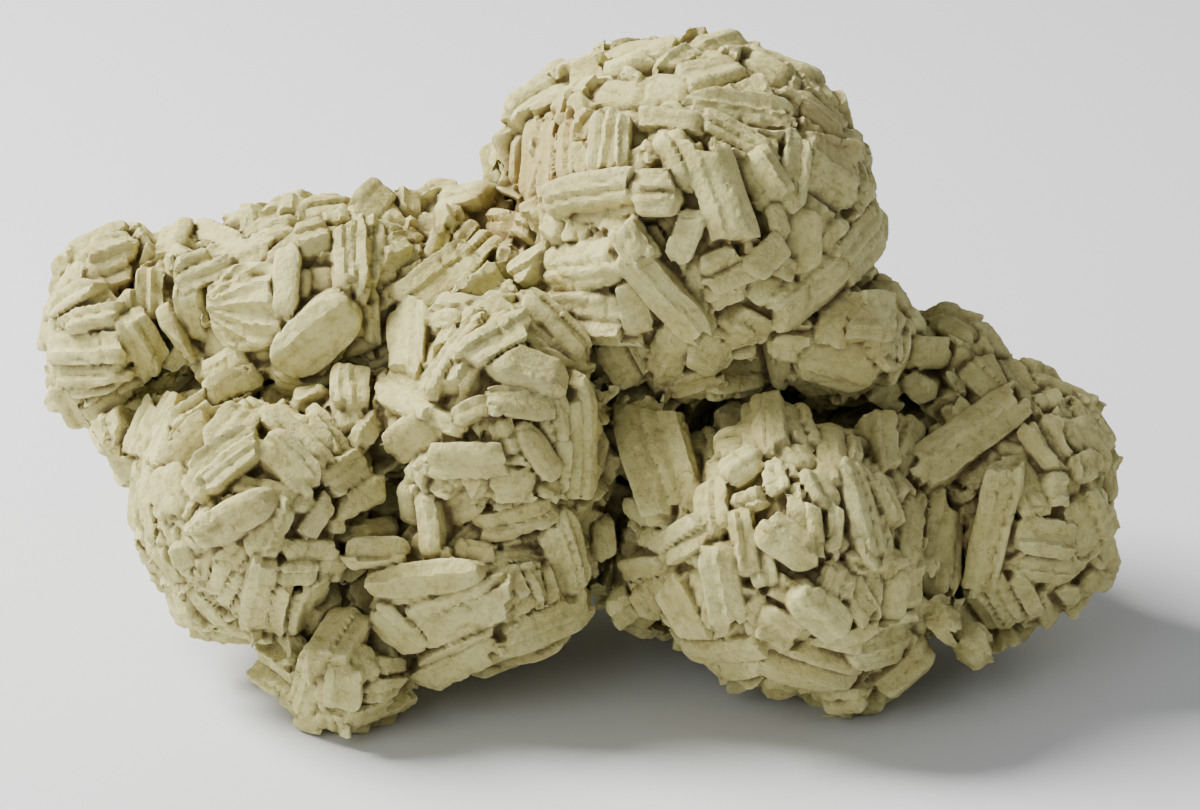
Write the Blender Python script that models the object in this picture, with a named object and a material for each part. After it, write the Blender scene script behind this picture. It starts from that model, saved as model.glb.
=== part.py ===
"""Albite specimen: thick bladed crystals grown together in rounded rosettes.

The whole cluster is one solid. Every rosette is a rounded lobe, and crystals shaped like
tapered blades stand on it. Places are written as they are seen from the front, a little from
above: x runs to the right and y down, both in pixels of the photograph, and depth runs
towards the viewer. picture_point turns such a place into metres.
"""

import math
import random
from collections import namedtuple

import bmesh
import bpy
from mathutils import Matrix, Vector

# Driving dimensions, in metres and degrees
WIDTH = 0.120
HEIGHT_OF_MIDDLE = 0.0308
VIEW_DISTANCE = 0.600
VIEW_ELEVATION = math.radians(20.0)
BLADE_THICKNESS = 0.0050
BLADE_TAPER = 0.22
BLADE_TIP_WIDTH = 0.62
BLADE_TIP_DROP = 0.16
TURN_TOWARD_VIEWER = 2.0
SMALLEST_DEPTH_SHARE = 0.05

# The front view, in pixels
PICTURE_WIDTH_OF_CLUSTER = 1095.0
PICTURE_MIDDLE = (600.0, 405.0)
METRES_PER_PIXEL = WIDTH / PICTURE_WIDTH_OF_CLUSTER

# The view's own axes, and the place of the picture's middle in the part's frame
RIGHT = Vector((1.0, 0.0, 0.0))
UP = Vector((0.0, math.sin(VIEW_ELEVATION), math.cos(VIEW_ELEVATION)))
TOWARD = Vector((0.0, -math.cos(VIEW_ELEVATION), math.sin(VIEW_ELEVATION)))
MIDDLE = Vector((0.001356, -0.007190, HEIGHT_OF_MIDDLE))

MM = 0.001
HIDDEN_SIDE_SEED = 11
HIDDEN_FACING = -0.35
HIDDEN_CRYSTALS_PER_LOBE = 14
HIDDEN_LOWEST = 3.0 * MM
HIDDEN_LENGTH = 14.0 * MM
HIDDEN_WIDTH = 5.5 * MM
HIDDEN_LIFT = 2.0 * MM

Lobe = namedtuple("Lobe", "x y wide high depth deep")
Crystal = namedtuple("Crystal", "x1 y1 x2 y2 width lift")

# Rounded lobes: middle and half sizes in pixels, then depth of the middle and half depth in mm
FRONT_LOBES = [
    Lobe(705, 215, 192, 186, -3.0, 22.0),
    Lobe(560, 165, 84, 96, -12.0, 13.0),
    Lobe(310, 305, 160, 118, -6.0, 14.0),
    Lobe(112, 338, 72, 108, -10.0, 12.0),
    Lobe(255, 515, 132, 140, 2.0, 17.0),
    Lobe(495, 425, 125, 145, 5.0, 15.0),
    Lobe(465, 590, 125, 86, 4.0, 12.0),
    Lobe(345, 672, 72, 72, 6.0, 9.0),
    Lobe(790, 555, 150, 142, 6.0, 16.0),
    Lobe(1010, 500, 116, 140, -7.0, 14.0),
    Lobe(945, 380, 88, 76, -10.0, 10.0),
    Lobe(645, 470, 70, 130, -1.0, 8.0),
    Lobe(848, 674, 60, 50, 3.0, 8.0),
]
REAR_LOBES = [
    Lobe(250, 400, 165, 140, -20.0, 15.0),
    Lobe(440, 420, 150, 190, -22.0, 17.0),
    Lobe(690, 330, 190, 200, -21.0, 19.0),
    Lobe(880, 480, 170, 140, -20.0, 16.0),
]
REAR_FEET = [
    Lobe(440, 590, 80, 82, -29.0, 10.0),
    Lobe(780, 585, 80, 82, -28.0, 10.0),
]

# Crystals of the front: both ends and the width in pixels, and the lift off the lobe in mm
CROWN = [
    (618, 252, 704, 348, 38, 3.2), (536, 270, 612, 262, 44, 1.4), (534, 290, 616, 300, 60, 0.8),
    (540, 206, 632, 190, 46, 2.4), (628, 192, 678, 190, 46, 2.6), (706, 142, 742, 244, 42, 3.0),
    (662, 126, 692, 178, 30, 2.0), (610, 104, 600, 168, 36, 1.6), (632, 112, 700, 122, 22, 0.9),
    (700, 112, 768, 146, 28, 1.2), (690, 95, 796, 113, 34, 0.6), (750, 150, 782, 200, 38, 1.6),
    (802, 126, 792, 208, 24, 1.2), (800, 92, 850, 132, 40, 0.2), (812, 160, 862, 192, 58, 0.4),
    (892, 215, 845, 272, 52, 1.6), (856, 268, 782, 328, 40, 1.8), (808, 212, 808, 275, 32, 1.2),
    (768, 350, 824, 354, 28, 0.6), (812, 376, 892, 376, 66, 2.2), (850, 315, 902, 312, 42, 0.8),
    (838, 290, 824, 348, 28, 1.0), (672, 332, 656, 388, 30, 0.6), (690, 352, 725, 372, 40, 0.2),
    (505, 110, 560, 72, 40, 0.2), (545, 76, 610, 58, 32, 0.0), (600, 56, 680, 38, 34, 0.0),
    (690, 72, 742, 60, 34, 0.6), (745, 52, 790, 78, 32, 0.3), (505, 130, 500, 190, 26, 0.0),
    (720, 248, 690, 330, 34, 0.0), (640, 80, 690, 82, 36, 0.4),
]
CENTRE = [
    (438, 385, 498, 300, 48, 2.6), (462, 355, 530, 312, 34, 3.0), (522, 292, 590, 350, 38, 2.2),
    (495, 352, 570, 380, 36, 2.8), (488, 399, 556, 400, 30, 2.0), (400, 374, 402, 292, 42, 1.8),
    (402, 302, 478, 242, 36, 1.6), (588, 386, 592, 512, 40, 2.2), (376, 372, 424, 404, 32, 1.8),
    (380, 460, 424, 430, 38, 1.8), (417, 462, 502, 462, 30, 1.8), (526, 428, 566, 480, 28, 2.0),
    (490, 488, 537, 488, 34, 1.2), (420, 490, 427, 562, 22, 0.9), (478, 536, 560, 516, 34, 0.8),
    (562, 520, 586, 600, 40, 1.4),
]
SADDLE = [
    (636, 395, 668, 508, 62, 1.2), (632, 596, 650, 634, 36, 0.2),
]
LOWER_LEFT = [
    (162, 388, 128, 456, 44, 0.8), (252, 370, 166, 428, 30, 1.0), (202, 414, 158, 466, 26, 1.4),
    (160, 462, 166, 516, 36, 1.4), (250, 400, 214, 440, 42, 2.4), (252, 432, 192, 478, 42, 2.8),
    (264, 430, 314, 482, 38, 3.0), (262, 400, 332, 462, 28, 2.2), (308, 406, 342, 452, 36, 1.4),
    (380, 412, 330, 482, 20, 0.8), (330, 484, 374, 458, 30, 1.4), (266, 500, 186, 542, 38, 3.4),
    (280, 503, 256, 562, 34, 2.4), (262, 574, 250, 640, 30, 2.6), (345, 554, 410, 554, 28, 1.8),
    (364, 586, 476, 572, 34, 2.6),
]
FOOT = [
    (352, 604, 322, 656, 42, 2.6), (308, 652, 288, 720, 30, 2.0), (372, 612, 420, 656, 34, 2.2),
    (404, 622, 500, 588, 22, 1.2), (412, 646, 510, 604, 26, 1.8), (420, 676, 486, 636, 28, 1.4),
    (414, 694, 494, 656, 30, 1.8), (346, 728, 420, 702, 24, 0.8), (598, 606, 508, 646, 36, 0.6),
]
LOWER_RIGHT = [
    (754, 380, 766, 450, 42, 1.8), (718, 474, 760, 448, 34, 2.0), (706, 474, 710, 530, 32, 1.8),
    (736, 506, 748, 574, 26, 1.8), (758, 522, 816, 560, 36, 2.8), (858, 450, 890, 566, 54, 2.2),
    (920, 494, 914, 562, 24, 0.2), (934, 560, 926, 640, 30, 0.6), (654, 556, 698, 526, 36, 2.6),
    (712, 546, 730, 632, 34, 3.0), (662, 580, 694, 644, 34, 2.0), (800, 598, 850, 638, 44, 3.2),
    (760, 620, 800, 644, 34, 2.6), (676, 657, 756, 654, 28, 0.8), (766, 668, 852, 692, 32, 0.8),
    (866, 656, 920, 640, 46, 1.6), (884, 702, 942, 656, 30, 0.8),
]
RIGHT_SIDE = [
    (916, 470, 1028, 390, 46, 2.8), (970, 352, 1002, 384, 40, 0.2), (1004, 352, 1040, 398, 26, 0.2),
    (1010, 454, 1044, 516, 34, 1.2), (1074, 420, 1112, 476, 36, 1.2),
    (1084, 500, 1104, 552, 42, 1.2), (1026, 536, 1084, 544, 34, 1.6),
    (1026, 568, 1084, 576, 30, 1.4), (996, 474, 992, 566, 36, 3.2), (958, 486, 956, 600, 42, 2.4),
    (952, 640, 1018, 652, 28, 0.8),
]
FAR_LEFT = [
    (84, 262, 130, 246, 46, 0.8), (42, 350, 124, 346, 32, 1.2), (46, 378, 118, 374, 24, 0.9),
    (134, 320, 162, 378, 34, 2.2), (148, 262, 150, 322, 30, 1.2),
]
RIDGE = [
    (204, 302, 274, 300, 84, 1.6), (216, 258, 272, 240, 28, 0.6), (286, 244, 283, 314, 22, 1.8),
    (290, 240, 334, 226, 38, 1.4), (350, 214, 352, 290, 34, 1.4), (424, 196, 480, 182, 30, 0.0),
    (278, 372, 352, 310, 58, 2.8), (350, 356, 348, 400, 36, 2.2),
]


def picture_point(x, y, depth):
    """A place in the part's frame from picture pixels and a depth in metres."""
    nearer = (VIEW_DISTANCE - depth) / VIEW_DISTANCE
    across = (x - PICTURE_MIDDLE[0]) * METRES_PER_PIXEL * nearer
    above = (PICTURE_MIDDLE[1] - y) * METRES_PER_PIXEL * nearer
    return MIDDLE + across * RIGHT + above * UP + depth * TOWARD


def front_of_lobe(lobe, x, y):
    """How near the viewer a lobe's skin is at a pixel, in metres, and how squarely it faces."""
    reach = ((x - lobe.x) / lobe.wide) ** 2 + ((y - lobe.y) / lobe.high) ** 2
    share = math.sqrt(max(1.0 - reach, 0.0))
    return (lobe.depth + lobe.deep * share) * MM, share


def skin_at(x, y):
    """Depth and outward direction of the frontmost lobe at a pixel."""
    lobe = max(FRONT_LOBES, key=lambda each: front_of_lobe(each, x, y))
    depth, share = front_of_lobe(lobe, x, y)
    half_width = lobe.wide * METRES_PER_PIXEL
    half_height = lobe.high * METRES_PER_PIXEL
    outward = RIGHT * ((x - lobe.x) / lobe.wide / half_width)
    outward -= UP * ((y - lobe.y) / lobe.high / half_height)
    outward += TOWARD * (max(share, SMALLEST_DEPTH_SHARE) / (lobe.deep * MM))
    return depth, outward.normalized()


def add_blade(shape, start, end, outward, width, thickness):
    """A closed blade from start to end, its broad face turned outward, both ends tapered.

    It tapers over a share of its length, or half its width on a stubby one, to tips that are
    narrower and lie lower than its middle.
    """
    along = (end - start).normalized()
    across = outward.cross(along).normalized()
    face = along.cross(across).normalized()
    length = (end - start).length
    taper = min(BLADE_TAPER * length, 0.5 * width)
    tip = (BLADE_TIP_WIDTH, BLADE_TIP_DROP)
    full = (1.0, 0.0)
    stations = [(0.0, *tip), (taper, *full), (length - taper, *full), (length, *tip)]
    rings = []
    for distance, share, drop in stations:
        middle = start + along * distance
        half = 0.5 * width * share
        top = face * (-drop * width)
        bottom = face * -thickness
        corners = [middle - across * half + top, middle + across * half + top,
                   middle + across * half + bottom, middle - across * half + bottom]
        rings.append([shape.verts.new(corner) for corner in corners])
    for ring, following in zip(rings, rings[1:]):
        for i in range(4):
            j = (i + 1) % 4
            shape.faces.new((ring[i], ring[j], following[j], following[i]))
    shape.faces.new(rings[0][::-1])
    shape.faces.new(rings[-1])


def add_crystal(shape, crystal):
    """A crystal of the front, lying between its two picked ends on the lobes' skin."""
    depth1, outward1 = skin_at(crystal.x1, crystal.y1)
    depth2, outward2 = skin_at(crystal.x2, crystal.y2)
    lift = crystal.lift * MM
    start = picture_point(crystal.x1, crystal.y1, depth1 + lift)
    end = picture_point(crystal.x2, crystal.y2, depth2 + lift)
    outward = (outward1 + outward2 + TURN_TOWARD_VIEWER * TOWARD).normalized()
    width = crystal.width * METRES_PER_PIXEL
    add_blade(shape, start, end, outward, width, BLADE_THICKNESS)


def lobe_frame(lobe):
    """The lobe's middle and its three half axes, in metres."""
    middle = picture_point(lobe.x, lobe.y, lobe.depth * MM)
    wide = RIGHT * lobe.wide * METRES_PER_PIXEL
    high = UP * lobe.high * METRES_PER_PIXEL
    deep = TOWARD * lobe.deep * MM
    return middle, wide, high, deep


def add_lobe(shape, lobe):
    """A closed faceted ball stretched to the lobe's size."""
    middle, wide, high, deep = lobe_frame(lobe)
    stretch = Matrix((wide, high, deep)).transposed().to_4x4()
    place = Matrix.Translation(middle) @ stretch
    bmesh.ops.create_icosphere(shape, subdivisions=2, radius=1.0, matrix=place)


def inside_lobe(lobe, point):
    """True where a point lies in the lobe."""
    middle, wide, high, deep = lobe_frame(lobe)
    offset = point - middle
    reach = [offset.dot(axis) / axis.length_squared for axis in (wide, high, deep)]
    return sum(share * share for share in reach) < 1.0


def add_hidden_side(shape, lobes):
    """Crystals at even spacing over the lobes' sides that the front view doesn't show."""
    count = HIDDEN_CRYSTALS_PER_LOBE
    rng = random.Random(HIDDEN_SIDE_SEED)
    golden_angle = math.pi * (3.0 - math.sqrt(5.0))
    for lobe in lobes:
        middle, wide, high, deep = lobe_frame(lobe)
        for i in range(count):
            level = 1.0 - 2.0 * (i + 0.5) / count
            ring = math.sqrt(1.0 - level * level)
            angle = golden_angle * i
            turn = rng.uniform(0.0, math.pi)
            shares = (ring * math.cos(angle), level, ring * math.sin(angle))
            point = middle + wide * shares[0] + high * shares[1] + deep * shares[2]
            outward = (wide * shares[0] / wide.length_squared + high * shares[1] / high.length_squared
                       + deep * shares[2] / deep.length_squared).normalized()
            hidden = outward.dot(TOWARD) < HIDDEN_FACING and point.z > HIDDEN_LOWEST
            buried = any(inside_lobe(other, point) for other in lobes if other != lobe)
            if buried or not hidden:
                continue
            side = outward.orthogonal().normalized()
            along = side * math.cos(turn) + outward.cross(side) * math.sin(turn)
            half = along * 0.5 * HIDDEN_LENGTH
            top = point + outward * HIDDEN_LIFT
            add_blade(shape, top - half, top + half, outward, HIDDEN_WIDTH, BLADE_THICKNESS)


def keep_largest_body(mesh):
    """Removes every closed shell but the one with the most vertices."""
    shape = bmesh.new()
    shape.from_mesh(mesh)
    unseen = set(shape.verts)
    largest = []
    while unseen:
        first = unseen.pop()
        body = [first]
        waiting = [first]
        while waiting:
            for edge in waiting.pop().link_edges:
                for vert in edge.verts:
                    if vert in unseen:
                        unseen.remove(vert)
                        body.append(vert)
                        waiting.append(vert)
        if len(body) > len(largest):
            largest = body
    kept = set(largest)
    bmesh.ops.delete(shape, geom=[v for v in shape.verts if v not in kept], context="VERTS")
    bmesh.ops.triangulate(shape, faces=shape.faces[:])
    shape.to_mesh(mesh)
    shape.free()


def albite_material():
    """Chalky cream crystal with a little yellow green in it."""
    material = bpy.data.materials.new("albite")
    material.use_nodes = True
    shader = material.node_tree.nodes["Principled BSDF"]
    shader.inputs["Base Color"].default_value = (0.60, 0.56, 0.36, 1.0)
    shader.inputs["Roughness"].default_value = 0.85
    shader.inputs["Metallic"].default_value = 0.0
    return material


def make_block(name, low, high):
    """A closed box, kept as a guide that cuts and isn't shown."""
    shape = bmesh.new()
    bmesh.ops.create_cube(shape, size=1.0)
    for vert in shape.verts:
        vert.co = [low[i] + (vert.co[i] + 0.5) * (high[i] - low[i]) for i in range(3)]
    mesh = bpy.data.meshes.new(name)
    shape.to_mesh(mesh)
    shape.free()
    block = bpy.data.objects.new(name, mesh)
    block.hide_render = True
    block.display_type = "WIRE"
    bpy.context.collection.objects.link(block)
    return block


def make_cluster():
    """The whole intergrown cluster, cut level where its feet rest."""
    shape = bmesh.new()
    every_lobe = FRONT_LOBES + REAR_LOBES + REAR_FEET
    for lobe in every_lobe:
        add_lobe(shape, lobe)
    for rows in (CROWN, CENTRE, SADDLE, LOWER_LEFT, FOOT, LOWER_RIGHT, RIGHT_SIDE, FAR_LEFT, RIDGE):
        for row in rows:
            add_crystal(shape, Crystal(*row))
    add_hidden_side(shape, every_lobe)
    bmesh.ops.recalc_face_normals(shape, faces=shape.faces[:])
    mesh = bpy.data.meshes.new("albite_cluster")
    shape.to_mesh(mesh)
    shape.free()
    cluster = bpy.data.objects.new("albite_cluster", mesh)
    bpy.context.collection.objects.link(cluster)

    below_ground = make_block("below_ground", (-0.2, -0.2, -0.1), (0.2, 0.2, 0.0))
    joined = cluster.modifiers.new("joined", "BOOLEAN")
    joined.operation = "DIFFERENCE"
    joined.solver = "EXACT"
    joined.use_self = True
    joined.object = below_ground
    bpy.context.view_layer.update()
    evaluated = cluster.evaluated_get(bpy.context.evaluated_depsgraph_get())
    solid = bpy.data.meshes.new_from_object(evaluated)
    cluster.modifiers.clear()
    keep_largest_body(solid)
    solid.name = "albite_cluster"
    solid.materials.clear()
    solid.materials.append(albite_material())
    cluster.data = solid
    bpy.data.meshes.remove(mesh)
    bpy.data.objects.remove(below_ground)
    return cluster


def main():
    for old in list(bpy.data.objects):
        bpy.data.objects.remove(old)
    make_cluster()


main()
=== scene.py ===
"""Albite specimen: the finished surface of the crystal cluster.

Each rosette is a rounded lobe with bladed crystals standing on it. The crystals of the front
are listed by their two ends and their width, in pixels of the photograph, and those of the
hidden sides are set by a rule. Every rosette becomes one closed mesh, drawn around a distance
field, so that the steps, grooves and chipped edges of the crystals are real shapes.

Until a mesh is made, a place is (across, above, depth) in millimetres: to the viewer's right,
up in the picture and towards the viewer, from the middle of the picture. to_world turns such
places into metres in the part's frame.
"""

import math
from collections import namedtuple
from itertools import product

import bpy
import numpy as np
from mathutils import Matrix, Vector


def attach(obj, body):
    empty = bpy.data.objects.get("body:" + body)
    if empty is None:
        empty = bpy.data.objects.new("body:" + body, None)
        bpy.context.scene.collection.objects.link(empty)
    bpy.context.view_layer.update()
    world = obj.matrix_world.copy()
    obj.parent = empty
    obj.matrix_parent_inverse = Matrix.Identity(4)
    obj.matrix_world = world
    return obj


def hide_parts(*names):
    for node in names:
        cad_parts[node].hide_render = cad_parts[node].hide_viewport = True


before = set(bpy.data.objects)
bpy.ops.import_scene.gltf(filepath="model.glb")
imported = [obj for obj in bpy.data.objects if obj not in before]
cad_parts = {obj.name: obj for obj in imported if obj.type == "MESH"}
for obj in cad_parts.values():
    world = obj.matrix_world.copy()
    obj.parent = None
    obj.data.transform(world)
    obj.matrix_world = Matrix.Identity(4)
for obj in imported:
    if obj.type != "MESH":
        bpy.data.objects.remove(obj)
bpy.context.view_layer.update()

# The view, as in the CAD model: the picture's middle, its scale and the viewer's place
MM = 0.001
PICTURE_SIZE = (1200.0, 810.0)
PICTURE_MIDDLE = (600.0, 405.0)
MM_PER_PIXEL = 120.0 / 1095.0
VIEW_DISTANCE = 600.0
VIEW_ELEVATION = math.radians(20.0)
RIGHT = np.array((1.0, 0.0, 0.0))
UP = np.array((0.0, math.sin(VIEW_ELEVATION), math.cos(VIEW_ELEVATION)))
TOWARD = np.array((0.0, -math.cos(VIEW_ELEVATION), math.sin(VIEW_ELEVATION)))
MIDDLE = np.array((1.356, -7.190, 30.8))

# Grids that the meshes are drawn from: spacing, and lowest and highest corners, in mm
FRONT_STEP = 0.375
FRONT_BOX = ((-64.0, -38.0, -14.0), (64.0, 44.0, 24.0))
REAR_STEP = 0.60
REAR_BOX = ((-64.0, -38.0, -46.0), (64.0, 46.0, -10.0))
FRONT_ENDS_AT = -13.0

# Meshes: how far one runs into its neighbours and how fast it sinks there, how firmly a vertex
# stays at its cell's mean and how far it may leave it, and what is thinned out
SEAM = 0.5
SEAM_SINK = 0.4
STIFFNESS = 0.12
FARTHEST_SHIFT = 0.6
BURIED_DEPTH = 1.2
BURIED_CELLS = 4.0
FACING_AWAY = -0.1
SHARP_ANGLE = math.radians(32.0)

# Crystal shape, in mm unless it is a share
CRYSTAL_THICKNESS = 5.0
SHEET_THICKNESS = 1.2
SEAM_WIDTH = 0.55
LONGEST_END_STEP = 1.4
CHAMFER = 0.08
LEDGES = 6
ROUNDED = 1
RIBBED = 2
ROUND_POWER = 2.8
RIB_HEIGHT = 0.5
RIB_TURNS = 12.0
GROOVE_WIDTH = 0.06
GROOVE_DEPTH = 1.3
GROOVE_FLARE = 0.28
CLEAR_HEIGHT = 2.6
TURN_TOWARD_VIEWER = 1.4

# Crystals set by the rule: area of lobe for each, depths, lengths and widths in mm
RULED_AREA = 17.0
BURIED_MARGIN = 1.5
LOWEST_HEIGHT = -1.0
SHORTEST = 6.0
LENGTH_RANGE = 4.0
HIDDEN_EXTRA_LENGTH = 3.5
NARROWEST = 2.4
WIDTH_RANGE = 2.4
SWIRL_SIZE = 11.0

# The lobes under the crystals
FILLET = 1.3
FALL_BESIDE_LOBE = 12.0
BULGES = 0.9
BULGE_SIZE = 9.0
CORE_SINK = 1.0
CORE_LUMPS = 0.4
CORE_LUMP_SIZE = 2.4

# How space is bent, in mm
BEND = 0.30
BEND_SIZE = 4.5
RIPPLE = 0.06
RIPPLE_SIZE = 1.9

# Fine relief of every face: heights, and the sizes of its noises along, across and out
STREAKS = 0.05
STREAK_SIZES = (5.0, 0.75, 1.1)
SUGAR = 0.04
SUGAR_SIZE = 0.8
CRACKS = 0.3
CRACK_SIZES = (2.2, 1.7, 1.9)
CRACK_WIDTH = 0.14
CRACK_PATCH_SIZE = 4.0
PITS = 0.25
PIT_SIZE = 1.3

# Colour marks: painted shade, with some brown dirt, in corners, crevices and hollows, and a painted
# highlight on edges. Half widths of the cubes whose filling is read, heights over the skin they are
# read at, and where a corner, a crevice and a hollow begin, with the span to their full strength
CUBE_SIZES = (0.4, 0.9, 3.6)
READ_HEIGHTS = (0.2, 0.5, 1.0)
CORNER_MARK = (0.44, 0.16, 0.50)
CREVICE_MARK = (0.33, 0.22, 0.85)
HOLLOW_MARK = (0.40, 0.22, 0.45)
# Painted highlight on convex edges, where the cube over the skin is nearly empty: where it begins and its
# span
EDGE_BEGINS = 0.24
EDGE_SPAN = 0.14
# How strongly the cracks get painted shade
CRACK_MARK = 0.3
OWNER_DEPTH = 0.3
TINT_SPREAD = 37.0

# Shifts that set the noises apart, and the seed of all draws
BULGE_SHIFT = 14.0
LUMP_SHIFT = 9.0
SWIRL_SHIFT = 3.0
STAIN_SHIFT = 12.0
STREAK_SHIFT, SUGAR_SHIFT, PIT_SHIFT, CRACK_SHIFT, CRACK_PATCH_SHIFT = 20.0, 21.0, 22.0, 24.0, 25.0
SEED = 20

Lobe = namedtuple("Lobe", "x y wide high depth deep")
Crystal = namedtuple("Crystal", "x1 y1 x2 y2 width lift rounded", defaults=(0,))

# Rounded lobes: middle and half sizes in pixels, then depth of the middle and half depth in mm
FRONT = {
    "crown": [Lobe(700, 217, 186, 186, -3.0, 22.0), Lobe(576, 150, 80, 98, -12.0, 13.0),
              Lobe(532, 178, 50, 62, -12.0, 10.0), Lobe(841, 332, 77, 74, 0.0, 11.0)],
    "left_ridge": [Lobe(325, 309, 156, 118, -6.0, 14.0), Lobe(446, 234, 74, 52, -12.0, 10.0),
                   Lobe(184, 278, 48, 58, -8.0, 11.0), Lobe(498, 268, 58, 46, -6.0, 10.0)],
    "left_tip": [Lobe(111, 334, 77, 111, -10.0, 12.0)],
    "lower_left": [Lobe(258, 510, 132, 136, 2.0, 17.0), Lobe(362, 438, 58, 84, 4.0, 8.0)],
    "middle": [Lobe(495, 425, 125, 145, 5.0, 15.0), Lobe(645, 470, 70, 130, -1.0, 8.0),
               Lobe(684, 400, 90, 46, -3.0, 9.5)],
    "left_foot": [Lobe(465, 590, 125, 86, 4.0, 12.0), Lobe(345, 672, 72, 72, 6.0, 9.0),
                  Lobe(592, 552, 42, 60, -4.0, 9.0)],
    "lower_right": [Lobe(790, 555, 150, 142, 6.0, 16.0), Lobe(848, 674, 60, 50, 3.0, 8.0),
                    Lobe(652, 592, 46, 52, -4.0, 8.0)],
    "right": [Lobe(1010, 500, 116, 140, -7.0, 14.0), Lobe(936, 384, 84, 76, -10.0, 10.0),
              Lobe(930, 590, 52, 56, -5.0, 10.0)],
}
REAR = {
    "rear_left": [Lobe(250, 400, 165, 140, -20.0, 15.0), Lobe(440, 420, 150, 190, -22.0, 17.0),
                  Lobe(440, 590, 80, 82, -29.0, 10.0)],
    "rear_right": [Lobe(690, 330, 190, 200, -21.0, 19.0), Lobe(880, 480, 170, 140, -20.0, 16.0),
                   Lobe(780, 585, 80, 82, -28.0, 10.0)],
}
FRONT_LOBES = [lobe for lobes in FRONT.values() for lobe in lobes]
ALL_LOBES = FRONT_LOBES + [lobe for lobes in REAR.values() for lobe in lobes]

# Crystals of the front: both ends and the width in pixels, and the lift off the lobe in mm.
# A seventh value is for an outline that is ROUNDED, or RIBBED as well.
CROWN = [
    (616, 226, 640, 262, 32, 3.6), (618, 252, 704, 348, 38, 3.2), (627, 284, 636, 340, 26, 1.6),
    (536, 270, 612, 262, 44, 1.4), (534, 290, 616, 300, 60, 0.8), (540, 206, 632, 190, 46, 2.4),
    (628, 192, 678, 190, 46, 2.6), (535, 222, 552, 232, 22, 1.0), (695, 210, 674, 266, 24, 1.8),
    (742, 252, 700, 272, 22, 1.2), (706, 142, 742, 244, 42, 3.0), (662, 126, 692, 178, 30, 2.0),
    (610, 104, 600, 168, 36, 1.6), (622, 106, 620, 166, 10, 2.2), (638, 142, 645, 168, 24, 1.0),
    (592, 108, 570, 138, 26, 0.8), (632, 112, 700, 122, 22, 0.9), (700, 112, 768, 146, 28, 1.2),
    (690, 95, 796, 113, 34, 0.6), (750, 150, 782, 200, 38, 1.6), (802, 126, 792, 208, 24, 1.2),
    (800, 92, 850, 132, 40, 0.2), (812, 160, 862, 192, 58, 0.4), (892, 215, 845, 272, 52, 1.6),
    (856, 268, 782, 328, 40, 1.8), (808, 212, 808, 275, 32, 1.2), (776, 203, 786, 240, 20, 1.2),
    (788, 240, 752, 275, 22, 1.6), (772, 262, 802, 276, 20, 1.4), (765, 264, 710, 287, 22, 1.0),
    (748, 288, 706, 305, 22, 0.6), (742, 322, 772, 340, 26, 0.4), (768, 350, 824, 354, 28, 0.6),
    (800, 366, 878, 386, 46, 1.4), (850, 315, 902, 312, 42, 0.8), (838, 290, 824, 348, 28, 1.0),
    (672, 332, 656, 388, 30, 0.6), (690, 352, 725, 372, 40, 0.2), (605, 345, 632, 392, 24, 0.2),
    (505, 110, 560, 72, 40, 0.2), (545, 76, 610, 58, 32, 0.0), (600, 56, 680, 38, 34, 0.0),
    (665, 60, 705, 32, 30, 0.6), (700, 40, 748, 30, 30, 0.8), (690, 72, 742, 60, 34, 0.6),
    (745, 52, 790, 78, 32, 0.3), (518, 130, 513, 186, 20, 0.0), (528, 110, 520, 190, 18, 0.4),
    (546, 108, 540, 186, 18, 0.6), (564, 112, 560, 178, 18, 0.8), (870, 190, 888, 232, 32, 0.4),
    (640, 225, 662, 258, 26, -1.2), (720, 248, 690, 330, 34, 0.0), (885, 345, 905, 300, 26, 0.2),
    (776, 92, 806, 110, 26, 0.2), (640, 80, 690, 82, 36, 0.4), (590, 86, 640, 88, 28, 0.2),
]
CENTRE = [
    (438, 385, 498, 300, 48, 2.6), (462, 355, 530, 312, 34, 3.0), (522, 292, 590, 350, 38, 2.2),
    (495, 352, 570, 380, 36, 2.8), (448, 420, 492, 402, 22, 1.8), (488, 399, 556, 400, 30, 2.0),
    (400, 374, 402, 292, 42, 1.8), (402, 302, 478, 242, 36, 1.6), (432, 258, 446, 224, 22, 0.8),
    (454, 246, 478, 218, 16, 0.6), (472, 250, 498, 226, 20, 0.4), (480, 216, 524, 222, 22, 0.0),
    (514, 226, 516, 252, 28, -0.4), (466, 290, 502, 260, 30, 1.2), (502, 274, 542, 250, 28, 1.2),
    (432, 314, 452, 314, 16, 0.6), (588, 386, 592, 512, 40, 2.2), (376, 372, 424, 404, 32, 1.8),
    (404, 406, 456, 430, 16, 1.6), (384, 404, 392, 436, 14, 0.4), (380, 460, 424, 430, 38, 1.8),
    (417, 462, 502, 462, 30, 1.8), (498, 420, 512, 458, 26, 1.2), (510, 460, 532, 488, 24, 1.0),
    (526, 428, 566, 480, 28, 2.0, ROUNDED), (540, 412, 562, 442, 16, 0.6), (490, 488, 537, 488, 34, 1.2),
    (402, 488, 404, 532, 16, 1.6), (420, 490, 427, 562, 22, 0.9), (478, 536, 560, 516, 34, 0.8),
    (452, 546, 505, 556, 16, 0.8), (500, 556, 548, 546, 16, 0.8), (462, 562, 520, 568, 16, 0.6),
    (562, 520, 586, 600, 40, 1.4), (546, 484, 568, 500, 18, 0.4), (380, 262, 420, 244, 24, 0.8),
    (392, 240, 426, 230, 18, 0.6), (424, 484, 450, 494, 18, 0.2), (444, 520, 470, 500, 30, -1.6),
    (556, 395, 572, 440, 20, 1.4), (566, 440, 580, 500, 20, 1.0),
]
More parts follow.
